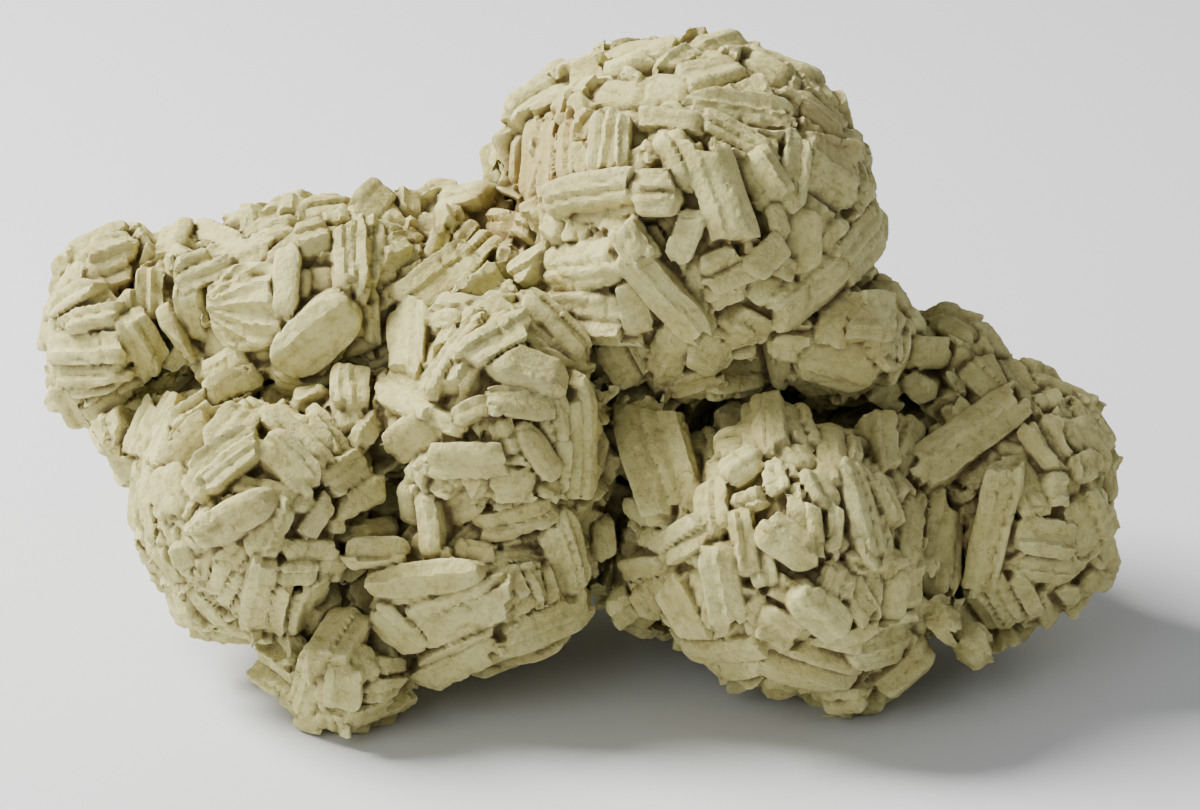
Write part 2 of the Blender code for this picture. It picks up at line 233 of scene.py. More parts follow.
SADDLE = [
    (636, 395, 668, 508, 62, 1.2), (690, 440, 690, 505, 22, 0.0), (700, 422, 706, 455, 22, -3.0),
    (612, 574, 652, 568, 18, 0.2), (630, 590, 648, 622, 28, 0.2), (608, 576, 612, 600, 22, 0.0),
    (618, 540, 640, 552, 26, -2.4), (620, 502, 650, 520, 20, -0.8), (604, 520, 606, 560, 18, 0.2),
]
LOWER_LEFT = [
    (162, 388, 128, 456, 44, 0.8), (252, 370, 166, 428, 30, 1.0), (202, 414, 158, 466, 26, 1.4),
    (160, 462, 166, 516, 36, 1.4), (250, 400, 214, 440, 42, 2.4), (252, 432, 192, 478, 42, 2.8),
    (180, 468, 198, 494, 26, 2.2), (264, 430, 314, 482, 38, 3.0), (262, 400, 332, 462, 28, 2.2),
    (308, 406, 342, 452, 36, 1.4), (340, 402, 352, 428, 26, 0.8), (380, 412, 330, 482, 20, 0.8),
    (330, 484, 374, 458, 30, 1.4), (228, 480, 272, 491, 14, 1.0), (256, 486, 294, 498, 16, 1.2),
    (266, 500, 186, 542, 38, 3.4, ROUNDED), (172, 548, 182, 572, 20, 2.0), (280, 503, 256, 562, 34, 2.4),
    (240, 546, 214, 574, 22, 0.8), (262, 574, 250, 640, 30, 2.6), (284, 592, 270, 644, 20, 2.2),
    (298, 598, 282, 640, 14, 1.6), (200, 560, 196, 596, 16, 0.6), (224, 566, 206, 600, 16, 0.8),
    (240, 574, 216, 612, 16, 0.4), (246, 650, 290, 688, 16, 0.8), (234, 626, 284, 672, 18, 1.2),
    (240, 668, 270, 692, 20, 0.2), (294, 503, 318, 505, 16, 0.8), (334, 496, 310, 540, 20, 1.6),
    (346, 508, 394, 486, 26, 1.8), (336, 526, 354, 526, 18, 0.6), (358, 532, 402, 524, 16, 0.8),
    (345, 554, 410, 554, 28, 1.8), (284, 552, 345, 556, 20, 1.6), (279, 578, 325, 578, 27, 2.2),
    (328, 572, 356, 568, 26, 0.8), (364, 586, 476, 572, 34, 2.6, ROUNDED), (372, 598, 420, 592, 22, 2.0),
    (140, 470, 146, 528, 18, 0.4), (144, 496, 150, 546, 16, 0.8), (164, 524, 186, 590, 18, 0.8),
    (146, 546, 176, 590, 18, 0.2), (186, 596, 222, 636, 18, 0.4), (204, 504, 180, 540, 14, 1.2),
    (322, 402, 300, 396, 20, 0.2), (190, 488, 176, 520, 16, 0.8),
]
FOOT = [
    (352, 604, 322, 656, 42, 2.6), (308, 652, 288, 720, 30, 2.0), (322, 662, 318, 706, 14, 1.8),
    (342, 670, 342, 714, 34, 2.2), (364, 645, 372, 682, 30, 1.0), (372, 612, 420, 656, 34, 2.2),
    (384, 668, 416, 666, 14, 0.6), (404, 622, 500, 588, 22, 1.2), (412, 646, 510, 604, 26, 1.8),
    (420, 676, 486, 636, 28, 1.4), (414, 694, 494, 656, 30, 1.8), (380, 694, 414, 684, 24, 0.4),
    (290, 722, 340, 730, 22, 1.2), (346, 728, 420, 702, 24, 0.8), (322, 724, 326, 738, 20, 1.4),
    (548, 602, 506, 632, 26, 0.6), (520, 576, 532, 596, 16, 0.4), (536, 570, 550, 598, 15, 0.6),
    (550, 562, 562, 598, 15, 0.8), (598, 606, 508, 646, 36, 0.6), (470, 600, 500, 580, 20, -0.2),
]
LOWER_RIGHT = [
    (754, 380, 766, 450, 42, 1.8), (790, 394, 808, 434, 28, 1.2), (718, 474, 760, 448, 34, 2.0),
    (706, 474, 710, 530, 32, 1.8), (785, 432, 806, 456, 32, 1.6), (770, 458, 778, 488, 18, 1.4),
    (786, 458, 790, 478, 14, 1.2), (728, 506, 764, 494, 20, 1.4), (736, 506, 748, 574, 26, 1.8),
    (758, 522, 816, 560, 36, 2.8), (804, 500, 812, 546, 30, 2.2), (808, 462, 830, 504, 26, 1.8),
    (796, 478, 802, 500, 14, 1.2), (838, 502, 835, 556, 16, 1.4), (830, 420, 836, 476, 26, 1.0),
    (852, 424, 856, 456, 20, 0.8), (858, 450, 890, 566, 54, 2.2, ROUNDED), (856, 562, 882, 572, 18, 1.8),
    (843, 566, 828, 599, 22, 2.0), (856, 576, 848, 604, 12, 1.8), (856, 600, 873, 626, 20, 1.6),
    (904, 578, 894, 622, 24, 0.8), (920, 494, 914, 562, 24, 0.2), (934, 560, 926, 640, 30, 0.6),
    (654, 556, 698, 526, 36, 2.6), (712, 546, 730, 632, 34, 3.0), (662, 580, 694, 644, 34, 2.0),
    (757, 546, 766, 586, 20, 1.2), (800, 598, 850, 638, 44, 3.2, ROUNDED), (760, 620, 800, 644, 34, 2.6),
    (772, 580, 798, 596, 24, 1.0), (748, 600, 766, 624, 24, 1.2), (676, 657, 756, 654, 28, 0.8),
    (712, 676, 758, 668, 26, 0.4), (766, 668, 852, 692, 32, 0.8), (800, 656, 872, 670, 20, 1.4),
    (866, 656, 920, 640, 46, 1.6), (820, 708, 868, 704, 26, 0.8), (884, 702, 942, 656, 30, 0.8),
    (728, 590, 760, 600, 16, 1.0), (812, 576, 830, 584, 16, 0.2), (880, 470, 905, 520, 26, 1.0),
]
RIGHT_SIDE = [
    (916, 470, 1028, 390, 46, 2.8), (938, 316, 974, 336, 26, 0.4), (914, 312, 930, 336, 24, 0.2),
    (970, 352, 1002, 384, 40, 0.2), (914, 350, 956, 352, 28, 0.4), (904, 394, 934, 380, 34, 0.8),
    (940, 414, 952, 408, 14, -0.4), (920, 410, 906, 452, 32, 1.0), (862, 426, 878, 436, 22, 0.2),
    (886, 402, 894, 470, 20, 0.2), (1004, 352, 1040, 398, 26, 0.2), (1044, 386, 1054, 402, 24, 0.4),
    (1010, 454, 1044, 516, 34, 1.2), (1030, 422, 1062, 468, 26, 1.0), (1048, 412, 1080, 462, 24, 1.0),
    (1074, 420, 1112, 476, 36, 1.2), (1116, 462, 1122, 502, 22, 0.8), (1052, 490, 1076, 488, 30, 1.8),
    (1084, 500, 1104, 552, 42, 1.2), (1090, 450, 1096, 482, 40, 1.6), (1026, 536, 1084, 544, 34, 1.6),
    (1026, 568, 1084, 576, 30, 1.4), (1110, 540, 1124, 580, 26, 0.4), (1092, 584, 1124, 586, 20, 0.6),
    (952, 492, 940, 604, 44, 0.6), (1004, 470, 974, 600, 34, 3.2), (952, 616, 982, 640, 22, 1.0),
    (972, 594, 1000, 636, 24, 1.4), (994, 584, 1018, 632, 22, 1.6), (1014, 580, 1034, 626, 24, 1.4),
    (1046, 604, 1058, 630, 26, 0.4), (1060, 596, 1086, 600, 20, 0.2), (952, 640, 1018, 652, 28, 0.8),
    (1110, 500, 1124, 530, 26, 0.4), (1016, 556, 1006, 540, 18, 0.4),
]
FAR_LEFT = [
    (84, 262, 130, 246, 46, 0.8), (64, 284, 92, 272, 20, 0.6), (44, 310, 82, 284, 20, 1.0),
    (58, 322, 118, 308, 24, 1.4), (42, 350, 124, 346, 32, 1.2), (46, 378, 118, 374, 24, 0.9),
    (60, 394, 112, 386, 16, 0.6), (134, 320, 162, 378, 34, 2.2), (148, 262, 150, 322, 30, 1.2),
    (156, 300, 180, 362, 14, 1.6), (180, 290, 192, 346, 26, 1.0), (60, 398, 82, 438, 24, 0.4),
    (86, 412, 100, 450, 26, 0.6), (104, 402, 114, 450, 16, 0.6), (164, 376, 190, 348, 18, 1.0),
    (100, 238, 140, 232, 30, 0.2), (78, 330, 110, 330, 16, 0.6), (120, 290, 132, 310, 24, 0.2),
]
RIDGE = [
    (202, 306, 276, 302, 88, 1.8, RIBBED), (164, 242, 176, 210, 32, 0.0), (190, 216, 236, 238, 24, -0.2),
    (176, 264, 214, 248, 18, 0.8), (172, 288, 232, 256, 18, 1.0), (216, 258, 272, 240, 28, 0.6),
    (262, 230, 300, 214, 20, 0.0), (286, 244, 283, 314, 22, 1.8), (290, 240, 334, 226, 38, 1.4),
    (308, 204, 352, 198, 28, 0.2), (318, 264, 318, 294, 30, -0.4), (302, 266, 300, 302, 12, 0.4),
    (350, 214, 352, 290, 34, 1.4), (376, 216, 368, 286, 20, 0.8), (364, 206, 392, 178, 30, 0.8),
    (386, 190, 395, 216, 22, 0.6), (408, 182, 410, 212, 20, 0.2), (424, 196, 480, 182, 30, 0.0),
    (278, 372, 352, 310, 58, 2.8, ROUNDED), (292, 388, 328, 380, 26, 1.0), (350, 356, 348, 400, 36, 2.2),
    (300, 370, 328, 368, 16, 0.6), (374, 302, 376, 346, 16, 0.6), (196, 374, 240, 352, 22, 0.8),
    (206, 392, 262, 368, 22, 1.0), (180, 342, 200, 374, 22, 0.6), (244, 244, 290, 224, 24, 0.3),
]


def picture_point(x, y, depth):
    """A place from picture pixels and a depth towards the viewer."""
    nearer = (VIEW_DISTANCE - depth) / VIEW_DISTANCE
    across = (x - PICTURE_MIDDLE[0]) * MM_PER_PIXEL * nearer
    above = (PICTURE_MIDDLE[1] - y) * MM_PER_PIXEL * nearer
    return np.array((across, above, depth))


def to_world(places):
    """Metres in the part's frame from places in the view's frame."""
    return (MIDDLE + places @ np.array((RIGHT, UP, TOWARD))) * MM


def height_of(places):
    """Height over the ground, in mm."""
    return MIDDLE[2] + places @ np.array((RIGHT[2], UP[2], TOWARD[2]))


def unit(vector):
    return vector / np.linalg.norm(vector)


def reach_of_lobe(lobe, x, y):
    """1 on a lobe's outline in the view, less inside it and more beside it."""
    return ((x - lobe.x) / lobe.wide) ** 2 + ((y - lobe.y) / lobe.high) ** 2


def front_of_lobe(lobe, x, y):
    """How near the viewer a lobe's skin is at a pixel, and how squarely it faces."""
    share = math.sqrt(max(1.0 - reach_of_lobe(lobe, x, y), 0.0))
    return lobe.depth + lobe.deep * share, share


def skin_at(x, y):
    """Depth and outward direction of the frontmost lobe at a pixel or a little beside it."""
    def rank(lobe):
        beside = max(reach_of_lobe(lobe, x, y) - 1.0, 0.0)
        return front_of_lobe(lobe, x, y)[0] - FALL_BESIDE_LOBE * beside

    lobe = max(FRONT_LOBES, key=rank)
    depth, share = front_of_lobe(lobe, x, y)
    across = (x - lobe.x) / (lobe.wide ** 2 * MM_PER_PIXEL)
    above = (lobe.y - y) / (lobe.high ** 2 * MM_PER_PIXEL)
    return depth, unit(np.array((across, above, max(share, 0.05) / lobe.deep)))


def lobe_frame(lobe):
    """The lobe's middle and its half sizes in mm."""
    middle = picture_point(lobe.x, lobe.y, lobe.depth)
    return middle, np.array((lobe.wide * MM_PER_PIXEL, lobe.high * MM_PER_PIXEL, lobe.deep))


def lobe_distance(lobe, points):
    """Signed distance to the lobe, exact enough near its skin."""
    middle, sizes = (np.float32(values) for values in lobe_frame(lobe))
    offset = (points - middle) / sizes
    first = np.linalg.norm(offset, axis=-1)
    second = np.linalg.norm(offset / sizes, axis=-1)
    return first * (first - 1.0) / np.maximum(second, 1e-6)


def joined_distance(points):
    """Signed distance to all the lobes, with the corners between them filled round."""
    gaps = np.stack([lobe_distance(lobe, points) for lobe in ALL_LOBES])
    nearest = gaps.min(axis=0)
    joined = nearest - FILLET * np.log(np.exp((nearest - gaps) / FILLET).sum(axis=0))
    return joined + BULGES * lumps(points, BULGE_SIZE, BULGE_SHIFT)


# Noise on a repeating lattice

LATTICE = 32
NOISE_TABLE = np.random.default_rng(SEED).uniform(-1.0, 1.0, (LATTICE,) * 3).astype(np.float32)


def read_between(values, cell, share):
    """Values of a repeating array at shares of the way from each cell to the next."""
    total = np.zeros(cell.shape[:-1], np.float32)
    for corner in product((0, 1), repeat=3):
        weight = 1.0
        for axis in range(3):
            weight = weight * (share[..., axis] if corner[axis] else 1.0 - share[..., axis])
        total += weight * values[tuple((cell[..., axis] + corner[axis]) % values.shape[axis]
                                       for axis in range(3))]
    return total


def lumps(points, size, shift):
    """Smooth noise from -1 to 1 whose lumps measure size mm, or a size for each axis."""
    place = points / size + 7.31 * shift
    cell = np.floor(place)
    share = (place - cell).astype(np.float32)
    return read_between(NOISE_TABLE, cell.astype(np.int32), share * share * (3.0 - 2.0 * share))


# Crystals


class Blade:
    """One crystal: a tapered stack of thin sheets with its top face turned outward."""

    def __init__(self, start, end, outward, width, lift, rng, rounded=0):
        self.middle = ((start + end) * 0.5).astype(np.float32)
        self.along = unit(end - start).astype(np.float32)
        self.across = unit(np.cross(outward, self.along)).astype(np.float32)
        self.face = np.cross(self.along, self.across)
        self.half_length = 0.5 * np.linalg.norm(end - start)
        self.half_width = 0.5 * width
        self.lift = lift
        self.slants = rng.uniform(-0.6, 0.6, 2)
        self.taper = rng.uniform(0.05, 0.6)
        self.rounded = rounded
        self.drop = rng.uniform(0.2, 1.2)
        self.ridge = rng.uniform(-0.6, 0.6) * self.half_width
        self.slopes = rng.uniform(0.2, 0.5, 2) if rounded else rng.uniform(0.0, 0.5, 2)
        sheets = max(2, int(round(width / SHEET_THICKNESS * rng.uniform(0.7, 1.3))))
        seams = np.linspace(-1.0, 1.0, sheets + 1)[1:-1] + rng.uniform(-0.5, 0.5, sheets - 1) / sheets
        self.seams = np.concatenate(((-99.0,), seams * self.half_width, (99.0,))).astype(np.float32)
        reach = 0.1 if rounded else min(0.22 * self.half_length, LONGEST_END_STEP)
        self.end_steps = rng.uniform(-reach, 0.3 * reach, (2, sheets)).astype(np.float32)
        self.top_steps = rng.uniform(-0.12 if rounded else -0.55, 0.08, sheets).astype(np.float32)
        self.sheet_tilts = rng.uniform(-0.3, 0.3, sheets).astype(np.float32)
        self.seam_depth = 0.0 if rounded else rng.uniform(0.0, 0.3)
        self.ledges = rng.uniform(-0.05, 0.35, LEDGES).astype(np.float32)
        self.tint = rng.uniform(0.0, 1.0)

    def box(self):
        """Lowest and highest corners of the space the crystal takes and clears."""
        reach = np.abs(self.along) * (self.half_length + LONGEST_END_STEP)
        reach += np.abs(self.across) * (self.half_width + 1.2)
        top = self.middle + self.face * CLEAR_HEIGHT
        bottom = self.middle - self.face * CRYSTAL_THICKNESS
        return np.minimum(top, bottom) - reach, np.maximum(top, bottom) + reach

    def distance(self, points):
        """Distance to the crystal, distance to its outline seen from above, and height over its top."""
        local = points - self.middle
        a = local @ self.along
        b = local @ self.across
        h = local @ self.face
        sheet = np.searchsorted(self.seams, b) - 1
        ledge = self.ledges[np.clip((-h / SHEET_THICKNESS).astype(np.int32), 0, LEDGES - 1)]
        near_end = np.clip((np.abs(a) / self.half_length - 0.5) / 0.5, 0.0, 1.3)
        near_end = near_end * near_end
        side = np.abs(b) - self.half_width * (1.0 - self.taper * near_end) - ledge
        first = a + b * self.slants[0] - self.half_length - self.end_steps[0][sheet] - ledge
        second = -a + b * self.slants[1] - self.half_length - self.end_steps[1][sheet] - ledge
        outline = np.maximum(side, np.maximum(first, second))
        if self.rounded:
            reach = np.abs(a / self.half_length) ** ROUND_POWER + np.abs(b / self.half_width) ** ROUND_POWER
            outline = 0.9 * self.half_width * (reach ** (1.0 / ROUND_POWER) - 1.0)
        fan = 0.0
        if self.rounded == RIBBED:
            angle = np.arctan2(b, a + 1.3 * self.half_length)
            fan = RIB_HEIGHT * np.abs(np.sin(RIB_TURNS * angle))
        beside = b - self.ridge
        roof = np.maximum(self.slopes[0] * beside, -self.slopes[1] * beside)
        from_seam = np.minimum(b - self.seams[sheet], self.seams[sheet + 1] - b)
        striation = self.seam_depth * np.clip(1.0 - from_seam / SEAM_WIDTH, 0.0, 1.0)
        shingle = self.sheet_tilts[sheet] * (b - self.seams[sheet].clip(-self.half_width))
        lid = h - self.top_steps[sheet] + roof + shingle + striation + fan + self.drop * near_end
        chamfer = 0.7 * (outline + lid) + CHAMFER
        distance = np.maximum(np.maximum(outline, chamfer), np.maximum(lid, -h - CRYSTAL_THICKNESS))
        return distance.astype(np.float32), outline, h


def front_blade(row, rng):
    """A listed crystal, lying between its two given ends on the lobes' skin."""
    crystal = Crystal(*row)
    depth1, outward1 = skin_at(crystal.x1, crystal.y1)
    depth2, outward2 = skin_at(crystal.x2, crystal.y2)
    between, _ = skin_at(0.5 * (crystal.x1 + crystal.x2), 0.5 * (crystal.y1 + crystal.y2))
    lift = crystal.lift + 0.5 * max(between - 0.5 * (depth1 + depth2), 0.0)
    start = picture_point(crystal.x1, crystal.y1, depth1 + lift)
    end = picture_point(crystal.x2, crystal.y2, depth2 + lift)
    outward = unit(outward1 + outward2 + (0.0, 0.0, TURN_TOWARD_VIEWER) + rng.normal(0.0, 0.2, 3))
    return Blade(start, end, outward, crystal.width * MM_PER_PIXEL, crystal.lift, rng, crystal.rounded)


def is_buried(point, own, margin):
    """True where a point lies deeper than the margin in a lobe other than its own."""
    return any(lobe_distance(lobe, point) < -margin for lobe in ALL_LOBES if lobe is not own)


def ruled_blades(lobe, rng):
    """Crystals over the lobe by a rule: low ones under the front's, full ones on hidden sides."""
    middle, sizes = lobe_frame(lobe)
    count = int(4.0 * math.pi * (sizes.prod() ** (2.0 / 3.0)) / RULED_AREA)
    golden_angle = math.pi * (3.0 - math.sqrt(5.0))
    longest = 1.1 * sizes.min()
    blades = []
    for i in range(count):
        level = 1.0 - 2.0 * (i + 0.5) / count
        ring = math.sqrt(1.0 - level * level)
        turn = golden_angle * i
        shares = np.array((ring * math.cos(turn), level, ring * math.sin(turn)))
        point = middle + shares * sizes
        outward = unit(shares / sizes)
        draws = rng.uniform(0.0, 1.0, 8)
        if height_of(point) < LOWEST_HEIGHT or is_buried(point, lobe, BURIED_MARGIN):
            continue
        point = point - outward * max(float(joined_distance(point)), -3.0)
        hidden = float(np.clip((-0.1 - outward[2]) / 0.5, 0.0, 1.0))
        side = unit(np.cross(outward, (0.3, 0.8, 0.5)))
        swirl = math.pi * float(lumps(point, SWIRL_SIZE, SWIRL_SHIFT)) * 1.6 + (draws[0] - 0.5) * 1.1
        along = side * math.cos(swirl) + np.cross(outward, side) * math.sin(swirl)
        length = min(SHORTEST + LENGTH_RANGE * draws[2] + HIDDEN_EXTRA_LENGTH * hidden, longest)
        width = NARROWEST + WIDTH_RANGE * draws[3]
        sagitta = length * length / (8.0 * sizes.min())
        lift = -0.7 + 0.9 * draws[1] + hidden * (0.3 + 1.6 * draws[6]) - 0.6 * sagitta
        lean = (draws[4] - 0.5) * (0.4 + 0.3 * hidden)
        along = unit(along + outward * lean)
        face = unit(outward + np.cross(outward, along) * (draws[5] - 0.5) * 0.9)
        top = point + outward * lift
        half = along * 0.5 * length
        blades.append(Blade(top - half, top + half, face, width, lift, rng))
    return blades


# Distance fields


class Grid:
    """Signed distance on a grid of points, with the crystal that owns each place."""

    def __init__(self, box, step):
        self.low = np.array(box[0])
        self.step = step
        halves = np.ceil((np.array(box[1]) - self.low) / step / 2.0).astype(int)
        self.shape = tuple(int(n) * 2 + 1 for n in halves)
        coarse = self.points(2)
        shift = warp(coarse)
        self.bent = self.points(1)
        for i in range(3):
            self.bent[..., i] += finer(shift[..., i])
        coarse_bent = coarse + shift
        self.coarse_lobes = {}
        total = np.zeros(coarse.shape[:-1], np.float32)
        for name, lobes in {**FRONT, **REAR}.items():
            gaps = [lobe_distance(lobe, coarse_bent) for lobe in lobes]
            self.coarse_lobes[name] = np.min(gaps, axis=0).astype(np.float32)
            for gap in gaps:
                total += np.exp(np.minimum(-gap / FILLET, 40.0))
        core = -FILLET * np.log(np.maximum(total, 1e-12))
        self.coarse_points = coarse
        core += (BULGES * lumps(coarse, BULGE_SIZE, BULGE_SHIFT)
                 + CORE_LUMPS * lumps(coarse, CORE_LUMP_SIZE, LUMP_SHIFT))
        self.values = finer(core + CORE_SINK)
        self.ground = finer(-height_of(coarse).astype(np.float32))
        self.owner = np.zeros(self.shape, np.int16)

    def points(self, stride):
        """Grid points, all of them or each second one."""
        lines = [self.low[i] + self.step * np.arange(0, self.shape[i], stride) for i in range(3)]
        return np.stack(np.meshgrid(*lines, indexing="ij"), axis=-1).astype(np.float32)

    def window(self, low, high):
        """Slices of the grid that hold a box, or None outside the grid."""
        first = np.maximum(np.floor((low - self.low) / self.step).astype(int), 0)
        last = np.minimum(np.ceil((high - self.low) / self.step).astype(int) + 1, self.shape)
        if (first >= last).any():
            return None
        return tuple(slice(int(first[i]), int(last[i])) for i in range(3))

    def sample(self, values, points):
        """Values of an array of the grid's shape, read between its points."""
        place = np.clip((points - self.low) / self.step, 0.0, np.array(self.shape) - 1.001)
        cell = np.floor(place).astype(np.int32)
        return read_between(values, cell, (place - cell).astype(np.float32))

    def add_blades(self, blades):
        """Joins the crystals on in turn. Each clears what stands over it and a groove around it."""
        for number, blade in enumerate(blades, start=1):
            window = self.window(*blade.box())
            if window is None:
                continue
            distance, outline, height = blade.distance(self.bent[window])
            beside = GROOVE_WIDTH + GROOVE_FLARE * (height + GROOVE_DEPTH) - outline
            above = np.minimum(height + GROOVE_DEPTH, CLEAR_HEIGHT - height)
            values = self.values[window]
            carved = np.maximum(values, np.minimum(beside, above))
            nearer = distance < carved
            self.owner[window][nearer] = number
            self.values[window] = np.minimum(carved, distance)
        np.maximum(self.values, self.ground, out=self.values)

    def region(self, name):
        """How far outside a rosette's own region each grid point is, in mm.

        The rear rosettes take all that lies behind the front ones.
        """
        family, sign = (FRONT, 1.0) if name in FRONT else (REAR, -1.0)
        others = [self.coarse_lobes[other] for other in family if other != name]
        outside = 0.5 * (self.coarse_lobes[name] - np.min(others, axis=0))
        return finer(np.maximum(outside, sign * (FRONT_ENDS_AT - self.coarse_points[..., 2])))


def finer(values):
    """An array of twice the spacing read at every grid point."""
    for axis in range(3):
        values = np.moveaxis(values, axis, 0)
        longer = np.empty((2 * values.shape[0] - 1,) + values.shape[1:], np.float32)
        longer[0::2] = values
        longer[1::2] = 0.5 * (values[:-1] + values[1:])
        values = np.moveaxis(longer, 0, axis)
    return values


def warp(points):
    """How far space is bent at each point, so that no crystal is perfectly straight."""
    return np.stack([BEND * lumps(points, BEND_SIZE, k) + RIPPLE * lumps(points, RIPPLE_SIZE, k + 5)
                     for k in range(3)], axis=-1)


def blurred(values, radius):
    """Each value's mean over a cube that reaches radius grid points to each side."""
    for axis in range(3):
        values = np.moveaxis(values, axis, 0)
        padded = np.zeros((values.shape[0] + 2 * radius + 1,) + values.shape[1:], np.float32)
        padded[radius + 1:radius + 1 + values.shape[0]] = values
        sums = np.cumsum(padded, axis=0)
        values = (sums[2 * radius + 1:] - sums[:-2 * radius - 1]) / (2 * radius + 1)
        values = np.moveaxis(values, 0, axis)
    return values


def draw_surface(values, low, step):
    """Vertices and square faces around the inside, one vertex to each crossed cell.

    A vertex lies where the planes through its cell's crossings meet, which keeps edges crisp.
    """
    nx, ny, nz = (n - 1 for n in values.shape)
    inside = values < 0.0
    count = np.zeros((nx, ny, nz), np.int8)
    for dx, dy, dz in product((0, 1), repeat=3):
        count += inside[dx:dx + nx, dy:dy + ny, dz:dz + nz]
    cells = np.argwhere((count > 0) & (count < 8))
    numbers = np.full((nx, ny, nz), -1, np.int32)
    numbers[tuple(cells.T)] = np.arange(len(cells))
    slopes = np.stack(np.gradient(values), axis=-1).astype(np.float32)
    total = np.zeros((len(cells), 3))
    crossings = np.zeros(len(cells))
    squares = np.zeros((len(cells), 3, 3))
    pulls = np.zeros((len(cells), 3))
    for axis in range(3):
        others = [k for k in range(3) if k != axis]
        for j, k in product((0, 1), repeat=2):
            first = np.zeros(3, int)
            first[others[0]], first[others[1]] = j, k
            second = first.copy()
            second[axis] = 1
            value1 = values[tuple((cells + first).T)]
            value2 = values[tuple((cells + second).T)]
            crossed = (value1 < 0.0) != (value2 < 0.0)
            share = np.where(crossed, value1 / np.where(crossed, value1 - value2, 1.0), 0.0)
            place = np.tile(first.astype(float), (len(cells), 1))
            place[:, axis] += share
            total += np.where(crossed[:, None], place, 0.0)
            crossings += crossed
            slope1 = slopes[tuple((cells + first).T)]
            slope2 = slopes[tuple((cells + second).T)]
            slope = slope1 + share[:, None] * (slope2 - slope1)
            slope /= np.maximum(np.linalg.norm(slope, axis=1, keepdims=True), 1e-6)
            slope = np.where(crossed[:, None], slope, 0.0)
            squares += slope[:, :, None] * slope[:, None, :]
            pulls += slope * (slope * place).sum(axis=1, keepdims=True)
    means = total / crossings[:, None]
    pulls -= np.einsum("nij,nj->ni", squares, means)
    shifts = np.linalg.solve(squares + STIFFNESS * np.eye(3), pulls[..., None])[..., 0]
    vertices = low + step * (cells + means + np.clip(shifts, -FARTHEST_SHIFT, FARTHEST_SHIFT))

    faces = []
    for axis in range(3):
        others = [(axis + 1) % 3, (axis + 2) % 3]
        here = [slice(1, -1)] * 3
        here[axis] = slice(0, -1)
        there = list(here)
        there[axis] = slice(1, None)
        first, second = inside[tuple(here)], inside[tuple(there)]
        for leaving in (True, False):
            edges = np.argwhere((first & ~second) if leaving else (~first & second))
            offset = np.ones(3, int)
            offset[axis] = 0
            edges = edges + offset
            ring = []
            for j, k in ((-1, -1), (0, -1), (0, 0), (-1, 0)):
                move = np.zeros(3, int)
                move[others[0]], move[others[1]] = j, k
                ring.append(numbers[tuple((edges + move).T)])
            faces.append(np.stack(ring if leaving else ring[::-1], axis=1))
    return vertices, np.concatenate(faces)


def thin_out(vertices, faces, loose, size):
    """Merges the loose vertices that share a cell of the given size, at their mean place."""
    cells = np.floor(vertices[loose] / size).astype(np.int64)
    cells -= cells.min(axis=0)
    spans = cells.max(axis=0) + 1
    keys = (cells[:, 0] * spans[1] + cells[:, 1]) * spans[2] + cells[:, 2]
    _, firsts, groups, sizes = np.unique(keys, return_index=True, return_inverse=True, return_counts=True)
    merged = np.flatnonzero(loose)[firsts]
    numbers = np.arange(len(vertices))
    numbers[loose] = merged[groups]
    means = [np.bincount(groups, weights=vertices[loose, axis]) / sizes for axis in range(3)]
    vertices = vertices.copy()
    vertices[merged] = np.stack(means, axis=1)
    faces = numbers[faces]
    ordered = np.sort(faces, axis=1)
    corners = 1 + (ordered[:, 1:] != ordered[:, :-1]).sum(axis=1)
    faces = faces[corners >= 3]
    used = np.zeros(len(vertices), bool)
    used[faces] = True
    numbers = np.cumsum(used) - 1
    return vertices[used], numbers[faces]


def keep_main_body(vertices, faces):
    """Drops sealed pockets and loose crumbs, which are shells apart from the main one."""
    labels = np.arange(len(vertices))
    while True:
        lowest = labels[faces].min(axis=1)
        joined = labels.copy()
        for corner in range(4):
            np.minimum.at(joined, faces[:, corner], lowest)
        joined = joined[joined]
        if (joined == labels).all():
            break
        labels = joined
    main = np.argmax(np.bincount(labels))
    kept = labels == main
    numbers = np.cumsum(kept) - 1
    return vertices[kept], numbers[faces[kept[faces[:, 0]]]]


def vertex_normals(vertices, faces):
    """Mean direction of the faces around each vertex."""
    corners = vertices[faces]
    across = np.cross(corners[:, 2] - corners[:, 0], corners[:, 3] - corners[:, 1])
    normals = np.empty_like(vertices)
    for axis in range(3):
        weights = np.repeat(across[:, axis], 4)
        normals[:, axis] = np.bincount(faces.ravel(), weights=weights, minlength=len(vertices))
    return normals / np.maximum(np.linalg.norm(normals, axis=1, keepdims=True), 1e-9)


# Colour marks

# Iron stain: middle in pixels, radius in mm and strength
STAINS = [
    (540, 145, 8.0, 1.0), (512, 190, 6.0, 0.9), (830, 118, 5.0, 0.7), (108, 255, 4.5, 0.7),
    (862, 338, 3.0, 0.5), (418, 226, 2.6, 0.7), (520, 215, 2.2, 0.9), (1020, 440, 2.6, 0.5),
    (636, 600, 3.0, 0.25), (852, 372, 4.0, 0.3), (755, 250, 3.0, 0.4), (925, 520, 3.0, 0.4),
]


def stain_at(points):
    """Strength of the iron stain, from 0 to 1."""
    total = np.zeros(len(points), np.float32)
    for x, y, radius, strength in STAINS:
        depth, _ = skin_at(x, y)
        middle = picture_point(x, y, depth + 1.0)
        reach = ((points - middle) ** 2).sum(axis=1) / radius ** 2
        total += strength * np.exp(-reach * reach)
    patches = np.clip(0.5 + 0.8 * lumps(points, 3.0, STAIN_SHIFT), 0.0, 1.0)
    return np.clip(total * (0.4 + 0.9 * patches), 0.0, 1.0)


